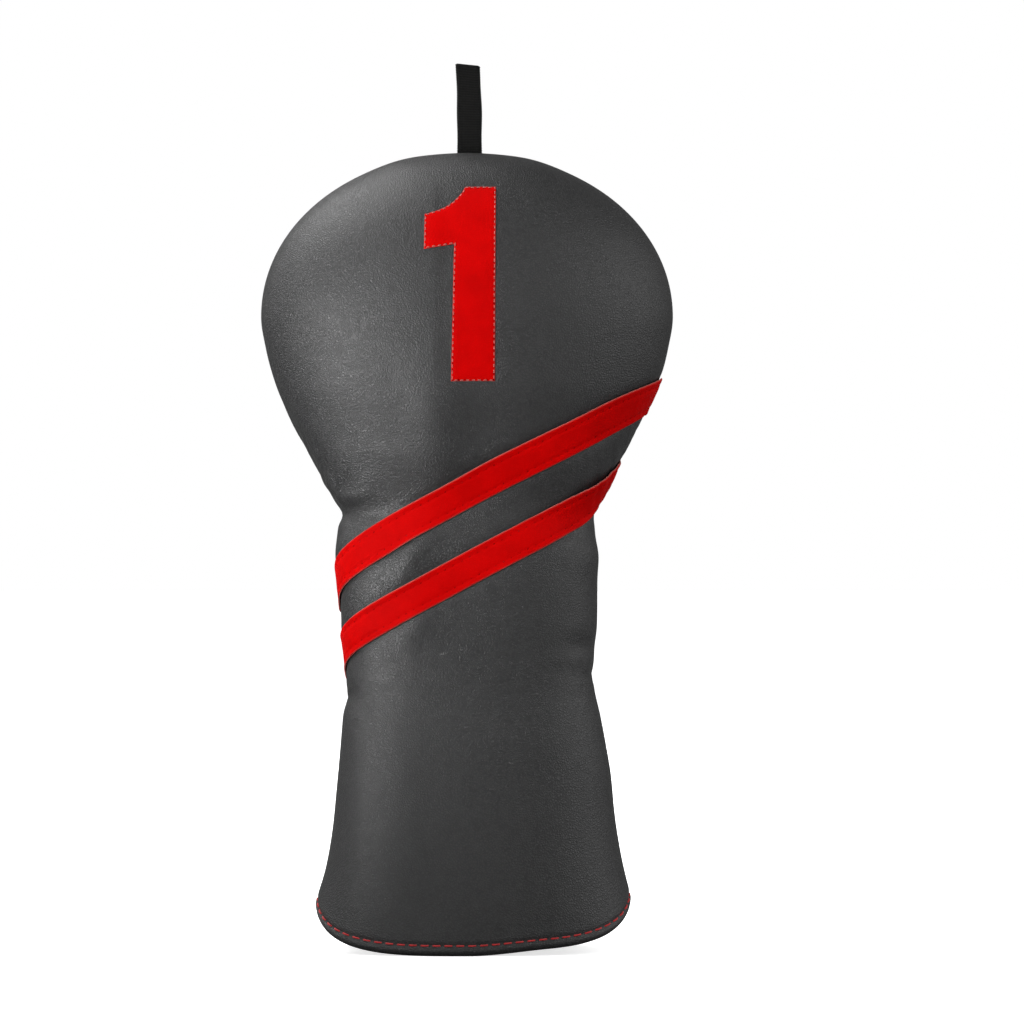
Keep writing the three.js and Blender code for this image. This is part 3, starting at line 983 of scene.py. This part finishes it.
def numeral_grid(outline):
    """A flat mesh inside the outline, fine enough to bend: its points as (x, z), and its faces."""
    edit = bmesh.new()
    corners = [edit.verts.new((x, 0, z)) for x, z in outline]
    face = edit.faces.new(corners)
    for rim in (0.12, 0.18, 0.25):
        bmesh.ops.inset_region(edit, faces=[face], thickness=rim)
    for axis in (0, 2):
        for cut in np.arange(NUMERAL_LOW[axis] + 0.45, NUMERAL_HIGH[axis], 0.6):
            place, direction = [0, 0, 0], [0, 0, 0]
            place[axis], direction[axis] = cut, 1
            every = edit.verts[:] + edit.edges[:] + edit.faces[:]
            bmesh.ops.bisect_plane(edit, geom=every, dist=1e-4, plane_co=place, plane_no=direction)
    flat = np.array([[v.co.x, v.co.z] for v in edit.verts])
    edit.verts.index_update()
    faces = [[v.index for v in f.verts] for f in edit.faces]
    edit.free()
    return flat, faces


def make_numeral(skin):
    outline = numeral_outline()
    flat, faces = numeral_grid(outline)
    inset, _ = place_on_outline(outline, flat)
    stitch_line = inset_outline(outline, NUMERAL_STITCH_INSET)
    off_row, along = place_on_outline(stitch_line, flat)
    closed = np.vstack([stitch_line, stitch_line[:1]])
    walk = walk_along(closed)
    # A whole number of stitches goes round the numeral.
    pitch = walk[-1] / round(walk[-1] / NUMERAL_PITCH)
    angle, row = front_place(*flat.T)
    stand = rounded_edge(inset) - stitch_dimples(along, off_row, pitch)
    piece = make_object("numeral_leather", skin.at(angle, row, -stand), faces)
    # The stitches hide most of the numeral's cut edge.
    add_attribute(piece, "cut_edge", 0.3 * cut_edge(inset))
    add_attribute(piece, "needle_hole", needle_holes(along, off_row, pitch))
    add_thickness(piece, APPLIQUE_THICKNESS)
    dress(piece, red_leather, "numeral_patch")
    fine = points_along(closed, walk, np.linspace(0, walk[-1], 1800))
    angle, row = front_place(*fine.T)
    path = skin.path(angle, row, STITCH_SEAT - APPLIQUE)
    # The numeral's thread is painted paler than the other red thread, as a painted highlight.
    sew(
        "numeral_stitches", "numeral_thread", red_thread_painted_sheen, [path], pitch, NUMERAL_THREAD, 0.62,
        slot="red_thread",
    )


# ---- Pull loop ----

def strap_line(count):
    """The webbing's path in side view, up the front, over the fold and down the back: points as (y, z), and
    how far along each of them is."""
    foot, fold = TAIL_LOW[2] + 0.6, LOOP_HIGH[2] - 1.8
    half = STRAP_THICKNESS / 2 + 0.06
    rise = np.linspace(0, 1, count)
    legs = half + 0.55 * np.sin(rise * math.pi) ** 2 * ramp(rise, 0.12, 0.4)
    up = np.stack([SEAM_Y - legs, foot + (fold - foot) * rise], -1)
    down = np.stack([SEAM_Y + legs, foot + (fold - foot) * rise], -1)[::-1]
    turn = np.linspace(0, math.pi, 24)[1:-1]
    over = np.stack([SEAM_Y - half * np.cos(turn), fold + 1.15 * half * np.sin(turn)], -1)
    line = np.vstack([up, over, down])
    walk = walk_along(line)
    at = np.arange(0, walk[-1], 0.125)
    return points_along(line, walk, at), at


def strap_points(across):
    """The strap's surface, as a row of points round it at each step of its path, given how far across each
    point is, and how far along each row is."""
    line, walk = strap_line(400)
    tangent = unit(np.gradient(line, axis=0))
    facing = np.stack([-tangent[:, 1], tangent[:, 0]], -1)
    rib = np.cos(walk / RIB_PITCH * FULL_TURN)
    half_width = (LOOP_HIGH[0] - LOOP_LOW[0]) / 2 - 0.15 + 0.1 * rib
    half_width = half_width + 0.12 * np.sin(walk / 7.3) + 0.1 * np.sin(walk / 3.1 + 1)
    side = np.repeat([1, -1], len(across) // 2)
    edge = np.sqrt(np.clip(1 - np.abs(across) ** 14, 0, 1))
    thick = STRAP_THICKNESS / 2 * (0.28 + 0.72 * edge) * side
    x = LOOP_X + half_width[:, None] * across[None]
    ribbed = thick[None] * (1 + 0.14 * rib[:, None] * edge[None])
    y = line[:, :1] + facing[:, :1] * ribbed
    z = line[:, 1:] + facing[:, 1:] * ribbed
    # The fold was creased a little out of square, and the strap isn't quite straight.
    climb = ramp(z, TAIL_HIGH[2], LOOP_HIGH[2])
    z = z - 0.1 * (x - LOOP_X) * climb
    x = x + 0.35 * np.sin((z - TAIL_HIGH[2]) / 9) * climb - 0.5 * climb
    y = y - 0.9 * np.sin(climb * math.pi) + 0.25 * np.sin(z / 4 + x / 3) * climb
    return np.stack([x, y, z], -1), walk


def make_loop():
    # Over the outer face and back under the inner one.
    across = np.concatenate([np.linspace(-1, 1, 17), np.linspace(1, -1, 17)])
    points, walk = strap_points(across)
    rows, columns = points.shape[:2]
    faces = grid_faces(rows, columns, closed=True)
    last = (rows - 1) * columns
    faces += [tuple(range(columns)), tuple(range(last + columns - 1, last - 1, -1))]
    strap = make_object("webbing_strap", points.reshape(-1, 3), faces)
    add_attribute(strap, "along", np.repeat(walk, columns))
    add_attribute(strap, "across", np.tile(across * 5, rows))
    strap.data.materials.append(black_webbing())
    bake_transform(strap)
    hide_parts("pull_loop", "loop_tail")


# ---- Materials ----

class Look:
    """The nodes of one material, or of the world."""

    def __init__(self, owner):
        owner.use_nodes = True
        self.tree = owner.node_tree

    def feed(self, socket, value):
        """Sets a socket to a number or a colour, or links it to another node's output."""
        if isinstance(value, bpy.types.NodeSocket):
            self.tree.links.new(value, socket)
        elif isinstance(value, tuple):
            socket.default_value = (*value, 1)
        else:
            socket.default_value = value

    def node(self, kind, output, inputs=None, **settings):
        """Adds a node and gives one of its outputs."""
        made = self.tree.nodes.new("ShaderNode" + kind)
        for name, value in settings.items():
            setattr(made, name, value)
        for name, value in (inputs or {}).items():
            self.feed(made.inputs[name], value)
        return made.outputs[output]

    def finish(self, shader, inputs):
        """Feeds the last node before the output."""
        for name, value in inputs.items():
            self.feed(self.tree.nodes[shader].inputs[name], value)

    def coat(self, colour, rough, normal, shine=0.5, sheen=0):
        """Feeds the material's own shader."""
        self.finish("Principled BSDF", {
            "Base Color": colour,
            "Roughness": rough,
            "Normal": normal,
            "Specular IOR Level": shine,
            "Sheen Weight": sheen,
        })

    @functools.cached_property
    def place(self):
        """The place on the object, in millimetres."""
        return self.scale(self.node("TexCoord", "Object"), 1 / MM)

    def scale(self, vector, by):
        return self.node("VectorMath", "Vector", {0: vector, "Scale": by}, operation="SCALE")

    def noise(self, size, detail=3, roughness=0.55):
        """Noise with features about size millimetres across."""
        inputs = {"Vector": self.place, "Scale": 1 / size, "Detail": detail, "Roughness": roughness}
        return self.node("TexNoise", "Fac", inputs)

    def stored(self, name):
        """A number stored with the mesh's points."""
        return self.node("Attribute", "Fac", attribute_name=name)

    def remap(self, value, low, high, to_low, to_high, way="LINEAR"):
        inputs = {
            "Value": value, "From Min": low, "From Max": high, "To Min": to_low, "To Max": to_high
        }
        return self.node("MapRange", "Result", inputs, interpolation_type=way)

    def times(self, a, b):
        return self.node("Math", "Value", {0: a, 1: b}, operation="MULTIPLY")

    def waves(self, distance, pitch):
        """1 at every whole pitch along a distance and -1 half-way between."""
        turned = self.times(distance, FULL_TURN / pitch)
        return self.node("Math", "Value", {0: turned}, operation="COSINE")

    def mix(self, share, a, b):
        """A blend of two colours. The node has sockets of one name for each kind, hence the numbers."""
        return self.node("Mix", 2, {0: share, 6: a, 7: b}, data_type="RGBA")

    def speckle(self, noise, a, b, low=0.35, high=0.65):
        """Two colours in the blotches of a noise."""
        return self.mix(self.remap(noise, low, high, 0, 1), a, b)

    def relief(self, *layers):
        """A bump for each (height, depth in millimetres), one on top of another."""
        normal = None
        for height, depth in layers:
            inputs = {"Height": height, "Distance": depth * MM, "Strength": 1}
            if normal is not None:
                inputs["Normal"] = normal
            normal = self.node("Bump", "Normal", inputs)
        return normal

    def pebbles(self, size):
        """The domes and creases of pebbled leather, 0 in a crease and 1 on a dome."""
        warp = {"Vector": self.place, "Scale": 0.9 / size, "Detail": 2}
        nudge = self.scale(self.node("TexNoise", "Color", warp), 0.9 * size)
        moved = self.node("VectorMath", "Vector", {0: self.place, 1: nudge}, operation="ADD")
        cells = {"Vector": moved, "Scale": 1 / size}
        edge = self.node("TexVoronoi", "Distance", cells, feature="DISTANCE_TO_EDGE")
        return self.remap(edge, 0, 0.32, 0, 1, "SMOOTHSTEP")


def material_once(build):
    """A look is made the first time that a piece asks for it."""

    @functools.cache
    @functools.wraps(build)
    def get():
        material = bpy.data.materials.new(build.__name__)
        build(Look(material))
        return material

    return get


@material_once
def grey_leather(look):
    grain = look.pebbles(0.95)
    fine = look.noise(0.3, 2)
    broad = look.noise(26)
    blotch = look.noise(4.5)
    colour = look.mix(grain, (0.009, 0.009, 0.0092), (0.0225, 0.0225, 0.023))
    shade = look.times(look.node("Math", "Value", {0: broad, 1: blotch}, operation="ADD"), 0.5)
    shade = look.remap(shade, 0.35, 0.65, 0, 0.35)
    colour = look.mix(shade, colour, (0.018, 0.018, 0.0182))
    worn = look.remap(look.node("NewGeometry", "Pointiness"), 0.53, 0.62, 0, 0.35)
    colour = look.mix(worn, colour, (0.06, 0.06, 0.061))
    rough = look.remap(look.times(grain, fine), 0, 0.6, 0.46, 0.36)
    normal = look.relief((broad, 0.3), (blotch, 0.09), (grain, 0.1), (fine, 0.008))
    look.coat(colour, rough, normal, 0.62)


@material_once
def red_leather(look):
    grain = look.pebbles(0.8)
    fine = look.noise(0.4)
    broad = look.noise(9)
    red = look.speckle(broad, (0.42, 0.0004, 0.0004), (0.5, 0.0005, 0.0005), 0.3, 0.7)
    red = look.mix(look.remap(grain, 0, 1, 0.25, 0), red, (0.33, 0.0003, 0.0003))
    raw = look.speckle(fine, (0.4, 0.2, 0.17), (0.25, 0.07, 0.06))
    cut = look.times(look.stored("cut_edge"), look.remap(fine, 0.3, 0.5, 0.55, 1))
    # Each needle hole is painted dark: painted shade in the hole.
    hole_shade = look.remap(look.stored("needle_hole"), 0.2, 0.8, 0, 0.9)
    colour = look.mix(hole_shade, look.mix(cut, red, raw), (0.05, 0.0, 0.0))
    look.coat(colour, 0.6, look.relief((broad, 0.12), (grain, 0.03), (fine, 0.012)), 0.02)


def thread(look, dark, light, shine):
    fibre = look.noise(0.12)
    look.coat(look.speckle(fibre, dark, light), 0.5, look.relief((fibre, 0.03)), shine, 0.2)


@material_once
def red_thread(look):
    thread(look, (0.3, 0.004, 0.006), (0.5, 0.03, 0.03), 0.15)


@material_once
def red_thread_painted_sheen(look):
    """The numeral's red thread, painted paler than the rest: a painted highlight for the light that it
    catches.
    """
    thread(look, (0.36, 0.06, 0.05), (0.55, 0.17, 0.15), 0.15)


@material_once
def dark_thread(look):
    thread(look, (0.012, 0.012, 0.012), (0.035, 0.035, 0.036), 0.35)


@material_once
def black_webbing(look):
    ribs = look.remap(look.waves(look.stored("along"), RIB_PITCH), -1, 1, 0.2, 1)
    warp = look.remap(look.waves(look.stored("across"), WARP_PITCH), -1, 1, 0.4, 1)
    weave = look.times(ribs, warp)
    fuzz = look.noise(0.2)
    colour = look.mix(weave, (0.002, 0.002, 0.002), (0.012, 0.012, 0.0115))
    colour = look.mix(look.remap(fuzz, 0.5, 0.75, 0, 0.3), colour, (0.02, 0.02, 0.019))
    look.coat(colour, 0.8, look.relief((weave, 0.12), (fuzz, 0.03)), 0.1)


@material_once
def white_elastic(look):
    inputs = {"Vector": look.place, "Scale": 0.55, "Distortion": 0.4}
    ribs = look.node("TexWave", "Fac", inputs)
    colour = look.mix(ribs, (0.5, 0.49, 0.46), (0.72, 0.71, 0.68))
    look.coat(colour, 0.85, look.relief((ribs, 0.15)))


@material_once
def grey_foam(look):
    cells = look.node("TexVoronoi", "Distance", {"Vector": look.place, "Scale": 2.2})
    colour = look.mix(cells, (0.16, 0.16, 0.165), (0.3, 0.3, 0.31))
    look.coat(colour, 0.95, look.relief((cells, 0.2)))


@material_once
def black_plush(look):
    pile = look.noise(0.5, 4, 0.7)
    tufts = look.noise(3)
    colour = look.speckle(pile, (0.004, 0.004, 0.005), (0.03, 0.03, 0.033), 0.35, 0.7)
    look.coat(colour, 1, look.relief((tufts, 0.9), (pile, 0.5)), sheen=0.6)


# ---- Stage ----

CAMERA_DISTANCE = 2000
CAMERA_X = 18
CAMERA_Z = 175.1
FRAME_WIDTH = 409.6
SENSOR_WIDTH = 36


def add_softbox(name, azimuth, elevation, distance, aim, size, brightness, spread=180):
    """A soft light, seen from the aim point at an azimuth to the right of the front and an elevation. Angles
    are in degrees and sizes in metres, brightness is against a white of 1, and spread is the beam."""
    light = bpy.data.lights.new(name, "AREA")
    light.shape = "RECTANGLE"
    light.size, light.size_y = size
    light.energy = brightness * math.pi * size[0] * size[1]
    light.spread = math.radians(spread)
    holder = bpy.data.objects.new(name, light)
    bpy.context.scene.collection.objects.link(holder)
    holder.visible_camera = False
    turn, up = math.radians(azimuth), math.radians(elevation)
    level = math.cos(up)
    towards = Vector((math.sin(turn) * level, -math.cos(turn) * level, math.sin(up)))
    holder.location = Vector(aim) + towards * distance
    holder.rotation_euler = (-towards).to_track_quat("-Z", "Y").to_euler()
    return holder


def by_ray(look, ray, otherwise, seen):
    """One number for a kind of ray and another for the rest."""
    return look.remap(look.node("LightPath", ray), 0, 1, otherwise, seen)


def build_floor():
    """White to the camera, and dark as a reflector under the object."""
    reach = 9000
    corners = [(-reach, -reach, 0), (reach, -reach, 0), (reach, reach, 0), (-reach, reach, 0)]
    floor = make_object("floor", corners, [(0, 1, 2, 3)])
    material = bpy.data.materials.new("floor_white")
    look = Look(material)
    look.finish("Principled BSDF", {
        "Base Color": by_ray(look, "Is Camera Ray", 0.12, 0.9),
        "Roughness": 0.9,
        "Specular IOR Level": 0.1,
        "Emission Color": (1, 1, 1),
        "Emission Strength": by_ray(look, "Is Camera Ray", 0, 0.7),
    })
    floor.data.materials.append(material)


def build_world():
    """White to the camera, dimmer as light on the object, and dimmer still where the object mirrors it."""
    world = bpy.data.worlds.new("studio")
    bpy.context.scene.world = world
    look = Look(world)
    unseen = by_ray(look, "Is Glossy Ray", 0.62, 0.16)
    strength = by_ray(look, "Is Camera Ray", unseen, 1)
    look.finish("Background", {"Color": (1, 1, 1), "Strength": strength})


def build_stage():
    build_floor()
    build_world()
    head = (0, 0, 0.24)
    add_softbox("key", -105, 55, 1.3, head, (1.2, 0.9), 5)
    add_softbox("left_card", -105, 15, 1.3, head, (1.2, 0.9), 0.7)
    add_softbox("front_card", -26, 15, 1.3, head, (0.7, 0.9), 1.6)
    add_softbox("low_card", -50, -8, 0.4, (-0.03, -0.03, 0.23), (0.24, 0.3), 1.1, 44)
    add_softbox("fill", 62, 15, 1.6, head, (1.7, 1.6), 1.5)
    add_softbox("right_card", 100, 15, 1.3, head, (1, 1.2), 0.5)
    rear = add_softbox("rear", 180, 30, 1.9, (0, 0, 0.2), (1.8, 1.4), 3)
    # Mirrored at a grazing angle, the rear light would draw a bright rim round the outline.
    rear.visible_glossy = False


def add_camera():
    camera = bpy.data.cameras.new("camera")
    holder = bpy.data.objects.new("camera", camera)
    bpy.context.scene.collection.objects.link(holder)
    camera.sensor_width = SENSOR_WIDTH
    camera.lens = SENSOR_WIDTH * CAMERA_DISTANCE / FRAME_WIDTH
    camera.clip_end = 100
    holder.location = (CAMERA_X * MM, -CAMERA_DISTANCE * MM, CAMERA_Z * MM)
    holder.rotation_euler = (math.pi / 2, 0, 0)
    bpy.context.scene.camera = holder


# ---- The scene ----

skin = Skin(settled_displacement())
make_leather(skin)
under = skin.softened()
make_layers(under)
make_elastics(skin, under)
make_hem_stitches(skin)
make_seam_stitches(skin)
for stripe_name in STRIPES:
    make_stripe(skin, stripe_name)
make_numeral(skin)
make_loop()
build_stage()
add_camera()
bpy.context.scene.view_settings.view_transform = "Standard"
